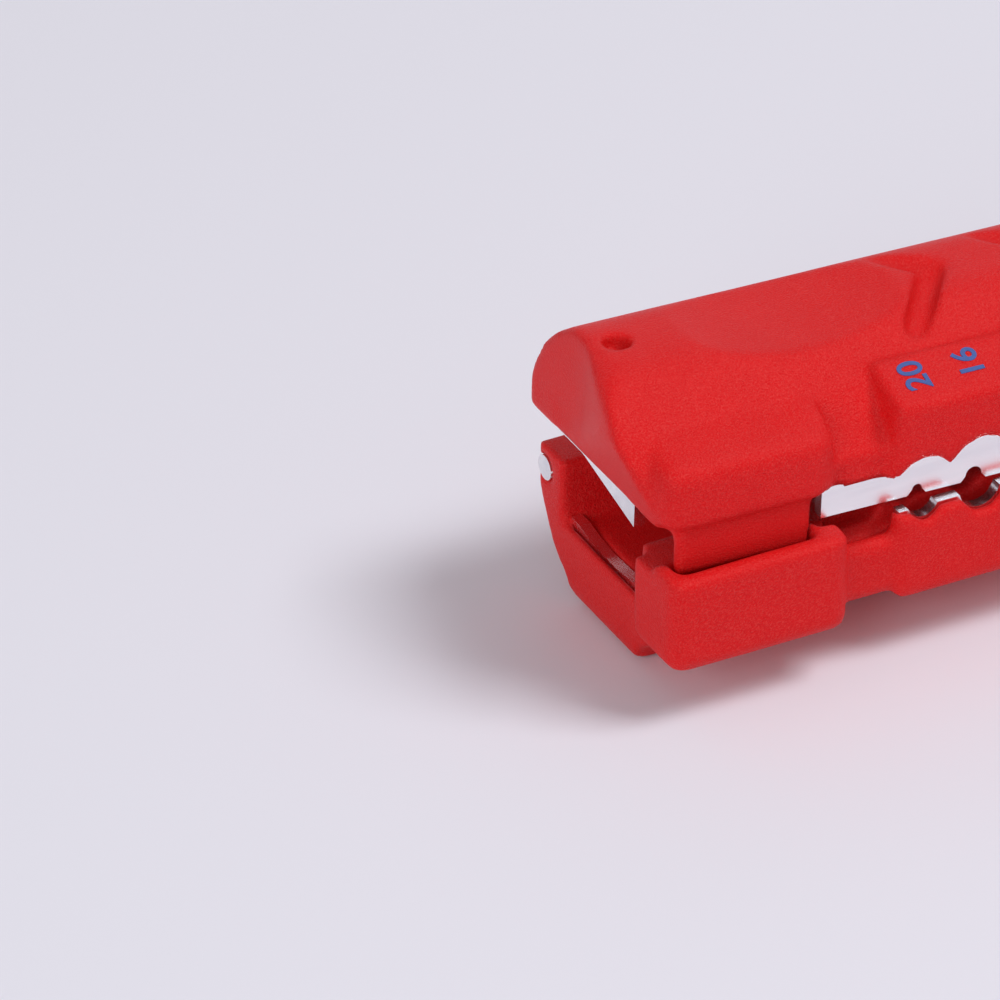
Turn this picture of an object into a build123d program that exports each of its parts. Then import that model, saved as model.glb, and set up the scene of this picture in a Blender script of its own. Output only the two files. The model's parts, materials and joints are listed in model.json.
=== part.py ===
from build123d import *
import os
from math import radians, tan

os.makedirs("parts", exist_ok=True)

# Handheld cable jacket stripper: two moulded half shells hinged at the rear.
# Millimetres. X runs from the nose (minus) to the hinge (plus), Y across, Z up.
# The origin lies on the flat underside, below the middle of the tool.
# Lengths along the tool are measured from the nose, heights from the parting plane.

# Overall form
tool_length = 124.0
half_width = 11.0
lower_depth = 13.6
upper_height = 10.4
lower_side_height = 4.2
upper_side_height = 1.7
foot_half_width = 4.2
lower_rim_drop = 1.0
upper_rim_drop = 0.85
rim_gap = 0.15
rest_opening_deg = 1.8
grip_end_before_hinge = 34.0
tail_bend_before_hinge = 10.0
tail_bend_drop = 1.9
tail_end_drop = 6.0
tail_drop = 8.6
tail_slope_length = 2.5
# Points of the half shell's section as shares of its half width and crown
crown_shares = [(0.936, 0.24), (0.841, 0.455), (0.714, 0.65), (0.536, 0.83)]

# Hinge
hinge_from_nose = 112.0
hinge_drop = 1.5
pin_diameter = 4.0
pin_clearance = 0.06
knuckle_radius = 6.0
knuckle_half_width = 4.6
ear_gap = 0.35
ear_outer = 9.4
knuckle_gap = 0.5
washer_thickness = 0.6
washer_radius = 3.4
bush_thickness = 0.5
pin_head_radius = 3.4
pin_head_height = 1.0
clip_thickness = 0.8
groove_depth = 0.5

# Jaw, channel and near side guide
channel_half_width = 6.75
channel_floor = 6.6
channel_length = 46.0
upper_channel_start = 6.2
upper_channel_height = 5.0
nose_lean = 2.4
nose_lean_height = 5.8
nose_brow_length = 3.6
nose_plan_start = 4.0
nose_plan_end = 8.0
lower_nose_setback = 1.0
lower_brow_height = 2.6
lower_brow_length = 2.2
guide_start = -0.4
guide_length = 15.9
guide_face = 15.2
guide_height = 8.9
section_depth = 8.6
waist_depth = 7.6
guide_wall = 1.75
guide_side_round = 1.4
guide_low_round = 1.3
guide_top_round = 0.6
pad_root = 8.0
tongue_thickness = 1.9
tongue_depth = 4.6
tongue_gap = 0.2
upper_block_start = -0.3
upper_block_length = 15.1
upper_block_face = 13.3
upper_block_edge_height = 5.3
upper_block_height = 6.9
upper_block_gap = 0.2
upper_block_side_round = 1.6
upper_block_top_round = 1.5

# Wire stripping section
section_start = 20.7
section_length = 22.0
section_lower_top = 0.45
section_side_round = 0.9
section_edge_round = 0.4
section_upper_face = 13.3
section_lower_face = 14.2
section_upper_height = 6.5
section_crown_y = 8.3
section_crown_height = 8.3
notch_places = [23.5, 28.8, 35.6]
notch_core_radii = [0.45, 0.75, 1.2]
notch_dip_radii = [1.4, 1.9, 2.5]
notch_dip_depths = [0.95, 1.5, 2.1]
scallop_radii = [1.75, 2.4, 3.1]
scallop_shift = 0.8

# Wire blades
wire_blade_thickness = 1.0
wire_blade_start = 14.6
wire_blade_end = 42.4
upper_blade_face = 12.0
lower_blade_face = 13.1
blade_running_gap = 0.1
blade_slot_gap = 0.05
upper_blade_reach = 2.7
upper_blade_rise = 4.6
lower_blade_top = -0.45
lower_blade_root = 6.9
lower_blade_start = 21.3
upper_screw_places = [18.0, 40.8]
lower_screw_places = [26.1, 40.8]
upper_screw_rise = 1.4
lower_screw_drop = 4.4
blade_screw_radius = 1.0
blade_screw_head_radius = 1.6
blade_screw_head_height = 0.8
blade_screw_bite = 0.4
blade_screw_seat = 8.2
waist_upper_face = 12.8
waist_lower_face = 13.7
waist_lower_drop = 2.3
waist_upper_drop = 0.3

# Jacket blades across the mouth
jacket_blade_thickness = 1.0
jacket_blade_from_nose = 0.5
jacket_blade_half_width = 6.5
upper_jacket_blade_reach = 2.1
lower_jacket_blade_reach = 2.6
jacket_blade_root = 4.2
jacket_blade_gap = 0.25
jacket_scallops = 1
jacket_bite_depth = 1.7
jacket_pin_radius = 0.8
jacket_pin_length = 4.0
jacket_pin_spread = 4.2
jacket_pin_inset = 1.6
cheek_pin_radius = 1.1
cheek_pin_length = 11.0
cheek_pin_y = 9.8
cheek_pin_drop = 3.0
cheek_pin_proud = 0.1

# Grip
scoop_from_nose = 17.3
scoop_length = 19.8
scoop_depth = 1.25
groove_radius = 1.15
groove_ridge_x = 31.0
groove_tip_x = 26.4
groove_tip_y = 5.9
groove_tip_drop = 1.3
groove_pitch = 5.8
groove_count = 6
groove_axis_rise = 0.1
nose_hole_radius = 1.05
nose_hole_depth = 1.6
nose_hole_from_nose = 2.9
nose_hole_y = 0.8

# Opening spring
spring_before_hinge = 32.0
spring_radius = 3.0
spring_wire_radius = 0.45
spring_turns = 6.5
spring_post_radius = 1.8
spring_post_height = 3.0
spring_floor_drop = 8.0
spring_roof_rise = 4.6
spring_end_gap = 0.1

# Lock, on a pad outside the near side of the lower handle
lock_before_hinge = 18.0
lock_travel = 5.0
lock_plate_length = 11.0
lock_plate_thickness = 1.5
lock_plate_height = 6.0
lock_plate_drop = 2.2
lock_plate_inner = 11.5
lock_gap = 0.15
lock_pad_face = 14.0
lock_pad_root = 7.4
lock_pad_margin = 1.4
lock_pad_round = 0.7
lock_button_length = 8.0
lock_button_height = 4.4
lock_button_rise = 2.0
lock_button_ribs = 4
lock_hook_length = 5.4
lock_hook_rise = 5.6
lock_hook_thickness = 1.2
keeper_radius = 0.8
keeper_before_hinge = 22.6
keeper_rise = 2.0
keeper_outer = 13.2
keeper_length = 5.0
detent_radius = 0.8
detent_depth = 3.2

nose_x = -tool_length / 2
parting_z = lower_depth
hinge_x = nose_x + hinge_from_nose
hinge_z = parting_z - hinge_drop
spring_from_nose = hinge_from_nose - spring_before_hinge
lock_from_nose = hinge_from_nose - lock_before_hinge
keeper_from_nose = hinge_from_nose - keeper_before_hinge


def box(x0, x1, y0, y1, z0, z1):
    """Block between two corners; x from the nose, z from the parting plane."""
    centre = ((x0 + x1) / 2 + nose_x, (y0 + y1) / 2, (z0 + z1) / 2 + parting_z)
    return Pos(*centre) * Box(x1 - x0, y1 - y0, z1 - z0)


def rod(axis, x, y, z, radius, length):
    """Cylinder that starts at the given point and runs along an axis."""
    plane = Plane(origin=(x + nose_x, y, z + parting_z), z_dir=axis)
    return extrude(plane * Circle(radius), amount=length)


def side_profile(points, y0, y1):
    """Prism of a closed outline in the XZ plane, between two widths."""
    places = [(x + nose_x, y0, z + parting_z) for x, z in points]
    face = make_face(Polyline(*places, close=True))
    return extrude(face, amount=y1 - y0, dir=(0, 1, 0))


def cross_profile(points, x0, x1):
    """Prism of a closed outline in the YZ plane, between two lengths."""
    places = [(x0 + nose_x, y, z + parting_z) for y, z in points]
    face = make_face(Polyline(*places, close=True))
    return extrude(face, amount=x1 - x0, dir=(1, 0, 0))


def arch(sign, rim, height, side, flat_half, x0, x1):
    """Half shell outside: upright sides that round over into the crown."""

    def at(y, z):
        return (x0 + nose_x, y, sign * z + parting_z)

    def flank(hand):
        places = [at(hand * half_width, side)]
        for y_share, z_share in crown_shares:
            places.append(at(hand * half_width * y_share, side + (height - side) * z_share))
        places.append(at(hand * flat_half, height))
        return Spline(*places, tangents=[(0, 0, sign), (0, -hand, 0)])

    outline = [flank(1), flank(-1)]
    if flat_half > 0:
        outline.append(Line(at(flat_half, height), at(-flat_half, height)))
    outline.append(
        Polyline(at(half_width, side), at(half_width, -rim), at(-half_width, -rim), at(-half_width, side))
    )
    face = make_face(outline)
    return extrude(face, amount=x1 - x0, dir=(1, 0, 0))


def side_outline(sign, height, front, lean, lean_height, brow):
    """Side view of a half shell: nose, level grip and a round tail."""
    tail = hinge_from_nose + knuckle_radius + 0.5
    grip_end = hinge_from_nose - grip_end_before_hinge
    bend = hinge_from_nose - tail_bend_before_hinge
    low = -3.0

    def at(x, z):
        return (x + nose_x, -20, sign * z + parting_z)

    tip = at(front - lean, lean_height)
    brow_end = at(front - lean + brow, height)
    brow_middle = at(front - lean + 0.22 * brow, lean_height + 0.72 * (height - lean_height))
    slope_start = at(tail - tail_slope_length, height - tail_end_drop)
    nose = Polyline(at(front, low), at(front, 0), tip)
    over = ThreePointArc(tip, brow_middle, brow_end)
    deck = Line(brow_end, at(grip_end, height))
    fall = ThreePointArc(at(grip_end, height), at(bend, height - tail_bend_drop), slope_start)
    end = Polyline(slope_start, at(tail, height - tail_drop), at(tail, low), at(front, low))
    face = make_face([nose, over, deck, fall, end])
    return extrude(face, amount=40, dir=(0, 1, 0))


def nose_plan():
    """Plan view that sets the far half of the nose back to the bottom edge."""

    def at(x, y):
        return (x + nose_x, y, -30)

    sweep_in = Spline(
        at(0, nose_plan_start),
        at(-0.54 * nose_lean, (nose_plan_start - nose_plan_end) / 2),
        at(-nose_lean, -nose_plan_end),
        tangents=[(0, -1, 0), (0, -1, 0)],
    )
    rest = Polyline(
        at(-nose_lean, -nose_plan_end),
        at(-nose_lean, -25),
        at(tool_length + 20, -25),
        at(tool_length + 20, 25),
        at(0, 25),
        at(0, nose_plan_start),
    )
    return extrude(make_face([sweep_in, rest]), amount=80, dir=(0, 0, 1))


def pad(points, x0, x1, side_round, low_round, top_round):
    """Proud pad on the near side whose outer edges are rounded."""
    solid = cross_profile(points, x0, x1)
    face_y = min(y for y, z in points)
    low_z = min(z for y, z in points) + parting_z
    uprights = [e for e in solid.edges().filter_by(Axis.Z) if e.center().Y < face_y + 0.01]
    solid = fillet(uprights, side_round)
    outer = [e for e in solid.edges() if e.center().Y < -pad_root - 0.05]
    if low_round > 0:
        solid = fillet([e for e in outer if abs(e.center().Z - low_z) < 0.01], low_round)
        outer = [e for e in solid.edges() if e.center().Y < -pad_root - 0.05]
    top_face = solid.faces().sort_by(Axis.Z)[-1]
    if top_round > 0:
        rim = [e for e in top_face.edges() if e.center().Y < -pad_root - 0.05]
        solid = fillet(rim, top_round)
    return solid


def tilt(part):
    """Turn a piece of the upper half from closed to the resting opening."""
    axis = Axis((hinge_x, 0, hinge_z), (0, 1, 0))
    return part.rotate(axis, rest_opening_deg)


def scallops(face_y, depth_y):
    """Round clearances of the upper shell at the wire notches."""
    cuts = []
    for place, radius in zip(notch_places, scallop_radii):
        cuts.append(rod((0, 1, 0), place + scallop_shift, face_y, 0.2, radius, depth_y))
    return cuts


def dips(face_y, depth_y):
    """Round dips of the lower edge, alike in the shell and in its blade."""
    cuts = []
    for place, radius, depth in zip(notch_places, notch_dip_radii, notch_dip_depths):
        cuts.append(rod((0, 1, 0), place, face_y, -section_lower_top - depth + radius, radius, depth_y))
    return cuts


def make_wire_blade(start, face_y, top, bottom, cuts, screw_places, screw_z):
    """Steel plate along the near side with its notches and screw holes."""
    plate = box(start, wire_blade_end, -face_y, -face_y + wire_blade_thickness, bottom, top)
    for cut in cuts:
        plate -= cut
    for place in screw_places:
        plate -= rod((0, 1, 0), place, -face_y - 1, screw_z, blade_screw_radius + 0.05, wire_blade_thickness + 2)
    return plate


def core_notches():
    """Notches of the upper blade, each as wide as the core that it leaves whole."""
    cuts = []
    for place, radius in zip(notch_places, notch_core_radii):
        edge = -upper_blade_reach
        flare = [
            (place - radius - 0.5, edge - 0.1),
            (place - radius, edge + 0.5),
            (place + radius, edge + 0.5),
            (place + radius + 0.5, edge - 0.1),
        ]
        cuts.append(side_profile(flare, -upper_blade_face - 1, -upper_blade_face + 2))
        cuts.append(rod((0, 1, 0), place, -upper_blade_face - 1, edge + 0.5, radius, 3))
    return cuts


# Jacket blades: plates across the tool with a scalloped cutting edge
def make_jacket_blade(front, edge_z, root_z):
    """Plate in the YZ plane whose edge is a row of shallow round bites."""
    low, high = min(edge_z, root_z), max(edge_z, root_z)
    plate = box(front, front + jacket_blade_thickness, -jacket_blade_half_width, jacket_blade_half_width, low, high)
    pitch = 2 * jacket_blade_half_width / jacket_scallops
    for number in range(jacket_scallops):
        y = -jacket_blade_half_width + pitch * (number + 0.5)
        bite = pitch * 0.62
        centre = edge_z + (bite - jacket_bite_depth) * (1 if edge_z > root_z else -1)
        plate -= rod((1, 0, 0), front - 1, y, centre, bite, jacket_blade_thickness + 2)
    for side in (-1, 1):
        hole_z = root_z + jacket_pin_inset * (1 if edge_z > root_z else -1)
        hole_y = side * jacket_pin_spread
        plate -= rod((1, 0, 0), front - 1, hole_y, hole_z, jacket_pin_radius + 0.03, jacket_blade_thickness + 2)
    return plate


upper_jacket_edge = -upper_rim_drop - upper_jacket_blade_reach
upper_jacket_root = -upper_rim_drop + jacket_blade_root
lower_jacket_edge = -channel_floor + lower_jacket_blade_reach
lower_jacket_root = -channel_floor - jacket_blade_root
lower_jacket_front = jacket_blade_from_nose + jacket_blade_thickness + jacket_blade_gap

upper_jacket_blade = make_jacket_blade(jacket_blade_from_nose, upper_jacket_edge, upper_jacket_root)
lower_jacket_blade = make_jacket_blade(lower_jacket_front, lower_jacket_edge, lower_jacket_root)

upper_screw_z = upper_screw_rise
lower_screw_z = -lower_screw_drop
upper_wire_blade = make_wire_blade(
    wire_blade_start,
    upper_blade_face,
    upper_blade_rise,
    -upper_blade_reach,
    core_notches(),
    upper_screw_places,
    upper_screw_z,
)
lower_wire_blade = make_wire_blade(
    lower_blade_start,
    lower_blade_face,
    lower_blade_top,
    -lower_blade_root,
    dips(-lower_blade_face - 1, 3),
    lower_screw_places,
    lower_screw_z,
)


def blade_screws(places, face_y, screw_z):
    """Screws driven from the channel, through a blade, into the outer wall."""
    tip = -face_y - blade_screw_bite
    screws = []
    for place in places:
        shank = rod((0, 1, 0), place, tip, screw_z, blade_screw_radius, -blade_screw_seat - tip)
        head = rod((0, 1, 0), place, -blade_screw_seat, screw_z, blade_screw_head_radius, blade_screw_head_height)
        drive = Plane(
            origin=(place + nose_x, -blade_screw_seat + blade_screw_head_height, screw_z + parting_z),
            z_dir=(0, -1, 0),
        )
        head -= extrude(drive * RegularPolygon(blade_screw_radius * 0.75, 6), amount=0.5)
        screws.append(shank + head)
    return screws


def screw_holes(places, face_y, screw_z):
    """Shank hole and head counterbore for each blade screw."""
    tip = -face_y - blade_screw_bite - 0.1
    holes = []
    for place in places:
        holes.append(
            rod((0, 1, 0), place, tip, screw_z, blade_screw_radius + 0.03, -blade_screw_seat - tip + 0.1)
        )
        holes.append(rod((0, 1, 0), place, -blade_screw_seat, screw_z, blade_screw_head_radius + 0.2, 3.0))
    return holes


# Lower shell
lower_shell = arch(-1, -lower_rim_drop, lower_depth, lower_side_height, foot_half_width, -5, tool_length + 5)
lower_shell &= side_outline(
    -1, lower_depth, lower_nose_setback, 0.0, lower_depth - lower_brow_height, lower_brow_length
)


def lower_pad_points(face_y, top, depth):
    """Section of a lower pad, from its root in the wall to its outer face."""
    return [(-pad_root, -top), (-face_y, -top), (-face_y, -depth), (-pad_root, -depth)]


lower_shell += pad(
    lower_pad_points(guide_face, 0, guide_height),
    guide_start,
    guide_length,
    guide_side_round,
    guide_low_round,
    guide_top_round,
)
lower_shell += pad(
    lower_pad_points(section_lower_face, section_lower_top, section_depth),
    section_start,
    section_start + section_length,
    section_side_round,
    guide_low_round,
    section_edge_round,
)
waist_points = lower_pad_points(waist_lower_face, waist_lower_drop, waist_depth)
waist = cross_profile(waist_points, guide_length - 2, section_start + 2)
waist_edges = [e for e in waist.edges().filter_by(Axis.X) if e.center().Y < -waist_lower_face + 0.01]
lower_shell += fillet(waist_edges, section_edge_round * 2)
lower_shell -= box(
    guide_length, section_start, -half_width - 5, -half_width + 2.2, -waist_lower_drop, 1
)
lower_shell -= box(
    -5,
    hinge_from_nose - knuckle_radius,
    -half_width - rim_gap,
    half_width + rim_gap,
    -lower_rim_drop,
    3,
)

# Cable channel, guide pocket and blade slots of the lower shell
lower_shell -= box(-4, channel_length, -channel_half_width, channel_half_width, -channel_floor, 2)
tongue_outer = guide_face - guide_wall
pocket_inner = tongue_outer - tongue_thickness - 2 * tongue_gap
pocket_front = 1.0
pocket_rear = upper_block_length - 1.5
lower_shell -= box(pocket_front, pocket_rear, -tongue_outer, -pocket_inner, -tongue_depth - 0.6, 2)
slot_inner = upper_blade_face - wire_blade_thickness - blade_running_gap
slot_outer = lower_blade_face + blade_slot_gap
lower_shell -= box(
    lower_blade_start - blade_slot_gap,
    wire_blade_end + 0.3,
    -slot_outer,
    -slot_inner,
    -lower_blade_root - blade_slot_gap,
    2,
)
lower_shell -= box(
    wire_blade_start - 0.3,
    wire_blade_end + 0.3,
    -upper_blade_face - blade_running_gap,
    -slot_inner,
    -upper_blade_reach - 0.4,
    2,
)
for cut in dips(-section_lower_face - 1, section_lower_face - channel_half_width + 2):
    lower_shell -= cut
lower_shell_screws = blade_screws(lower_screw_places, lower_blade_face, lower_screw_z)
for hole in screw_holes(lower_screw_places, lower_blade_face, lower_screw_z):
    lower_shell -= hole
lower_shell -= box(
    lower_jacket_front - 0.05,
    lower_jacket_front + jacket_blade_thickness + 0.05,
    -jacket_blade_half_width - 0.05,
    jacket_blade_half_width + 0.05,
    lower_jacket_root - 0.05,
    0,
)
cheek_pin_start = lower_nose_setback - cheek_pin_proud
lower_shell -= rod(
    (1, 0, 0), cheek_pin_start, cheek_pin_y, -cheek_pin_drop, cheek_pin_radius + 0.02, cheek_pin_length
)

# Rear cavity, hinge ears, spring pocket and lock slot of the lower shell
ear_front = hinge_from_nose - knuckle_radius - 0.8
cavity_half = 7.0
lower_shell -= box(channel_length + 6, ear_front - 1, -cavity_half, cavity_half, -spring_floor_drop - 2, 2)
ears = []
for side in (-1, 1):
    inner = knuckle_half_width + ear_gap
    y0 = inner if side > 0 else -ear_outer
    ear = rod((0, 1, 0), hinge_from_nose, y0, -hinge_drop, knuckle_radius, ear_outer - inner)
    ears.append(ear)
lower_shell -= box(
    ear_front - 1.4,
    tool_length + 2,
    -knuckle_half_width - ear_gap,
    knuckle_half_width + ear_gap,
    -hinge_drop - knuckle_radius - knuckle_gap,
    3,
)
for ear in ears:
    lower_shell += ear
for side in (-1, 1):
    y0 = ear_outer if side > 0 else -half_width - 1
    lower_shell -= rod((0, 1, 0), hinge_from_nose, y0, -hinge_drop, knuckle_radius, half_width + 1 - ear_outer)
lower_shell -= rod(
    (0, 1, 0), hinge_from_nose, -half_width - 2, -hinge_drop, pin_diameter / 2 + pin_clearance, 2 * half_width + 4
)
spring_seat = rod((0, 0, 1), spring_from_nose, 0, -spring_floor_drop - 2.2, spring_radius + 2.4, 2.2)
spring_post = rod((0, 0, 1), spring_from_nose, 0, -spring_floor_drop, spring_post_radius, spring_post_height)
lower_shell += spring_seat
lower_shell += spring_post
lock_low = -lock_plate_drop - lock_plate_height
lock_x0 = lock_from_nose - lock_travel
lock_x1 = lock_from_nose + lock_plate_length
plate_outer = lock_plate_inner + lock_plate_thickness
pad_low = lock_low - lock_pad_margin
pad_top = -lower_rim_drop - 0.3
lock_pad_points = [(-lock_pad_root, pad_top), (-lock_pad_face, pad_top), (-lock_pad_face, pad_low)]
lock_pad_points += [(-lock_pad_face + 1.6, pad_low - 0.6), (-lock_pad_root, pad_low - 0.6)]
lock_pad = cross_profile(lock_pad_points, lock_x0 - lock_pad_margin, lock_x1 + lock_pad_margin)
lock_pad_uprights = [e for e in lock_pad.edges().filter_by(Axis.Z) if e.center().Y < -lock_pad_face + 0.01]
lower_shell += fillet(lock_pad_uprights, lock_pad_round)
lower_shell -= box(
    lock_x0 - lock_gap,
    lock_x1 + lock_gap,
    -plate_outer - lock_gap,
    -lock_plate_inner + lock_gap,
    lock_low - lock_gap,
    2,
)
button_low = -lock_plate_drop - lock_plate_height / 2 - lock_button_height / 2
button_x0 = lock_from_nose + (lock_plate_length - lock_button_length) / 2
lower_shell -= box(
    button_x0 - lock_travel - lock_gap,
    button_x0 + lock_button_length + lock_gap,
    -lock_pad_face - 1,
    -plate_outer,
    button_low - lock_gap,
    button_low + lock_button_height + lock_gap,
)
detent_x = lock_from_nose + lock_plate_length / 2
detent_z = -lock_plate_drop - lock_plate_height / 2
detent_seat = -lock_plate_inner + detent_depth
lower_shell -= rod((0, 1, 0), detent_x, -lock_plate_inner - 0.1, detent_z, detent_radius + 0.05, detent_depth + 0.1)

# Upper shell, modelled closed
upper_shell = arch(1, upper_rim_drop, upper_height, upper_side_height, 0, -5, tool_length + 5)
upper_shell &= side_outline(1, upper_height, 0.0, nose_lean, nose_lean_height, nose_brow_length)
upper_shell &= nose_plan()
block_points = [
    (-pad_root, upper_block_gap),
    (-upper_block_face, upper_block_gap),
    (-upper_block_face, upper_block_edge_height),
    (-pad_root, upper_block_height),
]
block = cross_profile(block_points, upper_block_start, upper_block_length)
block = fillet(
    [e for e in block.edges().filter_by(Axis.Z) if e.center().Y < -upper_block_face + 0.01],
    upper_block_side_round,
)
block_top = [e for e in block.edges() if e.center().Z > parting_z + upper_block_edge_height - 0.5]
block = fillet([e for e in block_top if e.center().Y < -pad_root - 0.05], upper_block_top_round)
upper_shell += block
upper_shell += box(
    pocket_front + tongue_gap,
    pocket_rear - tongue_gap,
    -tongue_outer + tongue_gap,
    -pocket_inner - tongue_gap,
    -tongue_depth,
    upper_block_gap + 1,
)
plateau_points = [
    (-pad_root, 0),
    (-section_upper_face, 0),
    (-section_upper_face, section_upper_height),
    (-section_crown_y, section_crown_height),
    (-section_crown_y + 1.3, section_crown_height - 1),
]
plateau = cross_profile(plateau_points, section_start, section_start + section_length)
plateau = fillet(
    [e for e in plateau.edges().filter_by(Axis.Z) if e.center().Y < -section_upper_face + 0.01],
    section_side_round,
)
upper_shell += plateau
upper_waist_points = [
    (-pad_root, -waist_upper_drop),
    (-waist_upper_face, -waist_upper_drop),
    (-waist_upper_face, 3.6),
    (-waist_upper_face + 0.4, 5.0),
    (-waist_upper_face + 2.2, 6.3),
    (-pad_root, 7.1),
    (-pad_root + 1, 5.0),
]
upper_shell += cross_profile(upper_waist_points, upper_block_length - 2, section_start + 2)
upper_shell -= box(
    pocket_rear, guide_length + 0.2, -waist_upper_face - 0.1, -half_width - rim_gap, -1, upper_block_gap
)
upper_shell -= box(
    upper_channel_start, channel_length, -channel_half_width, channel_half_width, -4, upper_channel_height
)
upper_shell -= box(
    wire_blade_start - blade_slot_gap,
    wire_blade_end + blade_slot_gap,
    -upper_blade_face - blade_slot_gap,
    -upper_blade_face + wire_blade_thickness + blade_slot_gap,
    -4,
    upper_blade_rise + blade_slot_gap,
)
upper_shell -= box(
    jacket_blade_from_nose - 0.05,
    jacket_blade_from_nose + jacket_blade_thickness + 0.05,
    -jacket_blade_half_width - 0.05,
    jacket_blade_half_width + 0.05,
    -4,
    upper_jacket_root + 0.05,
)
for cut in scallops(-section_upper_face - 1, section_upper_face - channel_half_width + 2):
    upper_shell -= cut
upper_shell -= box(
    lower_blade_start - 0.4,
    wire_blade_end + 0.4,
    -lower_blade_face - blade_running_gap,
    -upper_blade_face,
    -4,
    lower_blade_top + 0.7,
)
upper_shell_screws = blade_screws(upper_screw_places, upper_blade_face, upper_screw_z)
for hole in screw_holes(upper_screw_places, upper_blade_face, upper_screw_z):
    upper_shell -= hole
scoop_radius = ((scoop_length / 2) ** 2 + scoop_depth**2) / (2 * scoop_depth)
upper_shell -= rod(
    (0, 1, 0), scoop_from_nose, -20, upper_height - scoop_depth + scoop_radius, scoop_radius, 40
)
upper_shell -= rod(
    (0, 0, 1), nose_hole_from_nose, nose_hole_y, upper_height - nose_hole_depth, nose_hole_radius, 5
)
upper_shell -= box(channel_length + 6, ear_front - 1.5, -cavity_half, cavity_half, -2, spring_roof_rise)
upper_shell += rod((0, 0, 1), spring_from_nose, 0, spring_roof_rise - 1.6, spring_post_radius, 1.7)
# Room around the ears, then the centre knuckle
ear_room = knuckle_radius + knuckle_gap
for side in (-1, 1):
    inner = knuckle_half_width
    y0 = inner if side > 0 else -half_width - 1
    width = half_width + 1 - inner
    upper_shell -= rod((0, 1, 0), hinge_from_nose, y0, -hinge_drop, ear_room, width)
    upper_shell -= box(hinge_from_nose, tool_length + 3, y0, y0 + width, -3, upper_height + 1)
knuckle = rod((0, 1, 0), hinge_from_nose, -knuckle_half_width, -hinge_drop, knuckle_radius, 2 * knuckle_half_width)
upper_shell += knuckle
upper_shell -= box(
    hinge_from_nose + 0.5,
    tool_length + 3,
    -half_width,
    half_width,
    knuckle_radius - hinge_drop - 0.6,
    upper_height + 1,
)
upper_shell -= rod(
    (0, 1, 0), hinge_from_nose, -half_width - 2, -hinge_drop, pin_diameter / 2 + bush_thickness, 2 * half_width + 4
)


def groove(hand, ridge_x):
    """Round slot with a round end, slanting from the ridge down one side."""
    start = Vector(ridge_x + nose_x, 0, upper_height + groove_axis_rise + parting_z)
    stop = Vector(
        ridge_x + groove_tip_x - groove_ridge_x + nose_x,
        hand * groove_tip_y,
        upper_height - groove_tip_drop + groove_axis_rise + parting_z,
    )
    run = stop - start
    plane = Plane(origin=start, x_dir=run, z_dir=run.cross(Vector(0, 0, 1)))
    reach = run.length
    bend = 0.707 * groove_radius
    tail, near = (-groove_radius, 0), (0, groove_radius)
    far, tip = (reach, groove_radius), (reach + groove_radius, 0)
    half = make_face(
        [
            Line(tip, tail),
            ThreePointArc(tail, (-bend, bend), near),
            Line(near, far),
            ThreePointArc(far, (reach + bend, bend), tip),
        ]
    )
    return revolve(plane * half, axis=Axis(start, run))


for number in range(groove_count):
    for hand in (-1, 1):
        upper_shell -= groove(hand, groove_ridge_x + number * groove_pitch)

# Upper shell parts are then turned to the resting opening
keeper_pin = rod((0, 1, 0), keeper_from_nose, -keeper_outer, keeper_rise, keeper_radius, keeper_length)
upper_shell -= rod((0, 1, 0), keeper_from_nose, -keeper_outer, keeper_rise, keeper_radius + 0.01, keeper_length)

# Lock slider with a ribbed button and a hook for the keeper pin
hook_x0 = lock_from_nose + 4.0
hook_profile = [
    (lock_from_nose, lock_low),
    (lock_x1, lock_low),
    (lock_x1, -lock_plate_drop),
    (lock_x1 - 1.0, lock_hook_rise),
    (hook_x0 - lock_hook_length + 0.8, lock_hook_rise),
    (hook_x0 - lock_hook_length, lock_hook_rise - lock_hook_thickness),
    (hook_x0, lock_hook_rise - lock_hook_thickness),
    (hook_x0, -lock_plate_drop),
    (lock_from_nose, -lock_plate_drop),
]
lock_slider = side_profile(hook_profile, -plate_outer, -lock_plate_inner)
lock_button = box(
    button_x0,
    button_x0 + lock_button_length,
    -plate_outer - lock_button_rise,
    -plate_outer + 0.1,
    button_low,
    button_low + lock_button_height,
)
lock_slider += lock_button
track_y = -lock_plate_inner + 0.4
lock_slider -= rod((1, 0, 0), detent_x - 0.9, track_y, detent_z, detent_radius, lock_travel + 1.8)
rib_pitch = lock_button_length / lock_button_ribs
for number in range(lock_button_ribs):
    rib_x = button_x0 + rib_pitch * (number + 0.5)
    rib_y = -plate_outer - lock_button_rise - 0.3
    lock_slider -= rod((0, 0, 1), rib_x, rib_y, button_low - 1, 0.6, lock_button_height + 2)

# Sprung ball that runs in a track on the slider's back and keeps it from rattling
ball_y = -lock_plate_inner + 0.45
detent_ball = Pos(detent_x + nose_x, ball_y, detent_z + parting_z) * Sphere(detent_radius - 0.05)
detent_spring = rod(
    (0, 1, 0), detent_x, ball_y + detent_radius, detent_z, detent_radius - 0.1, detent_seat - ball_y - detent_radius
)
detent_spring -= rod((0, 1, 0), detent_x, ball_y, detent_z, detent_radius - 0.4, detent_depth)

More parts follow.
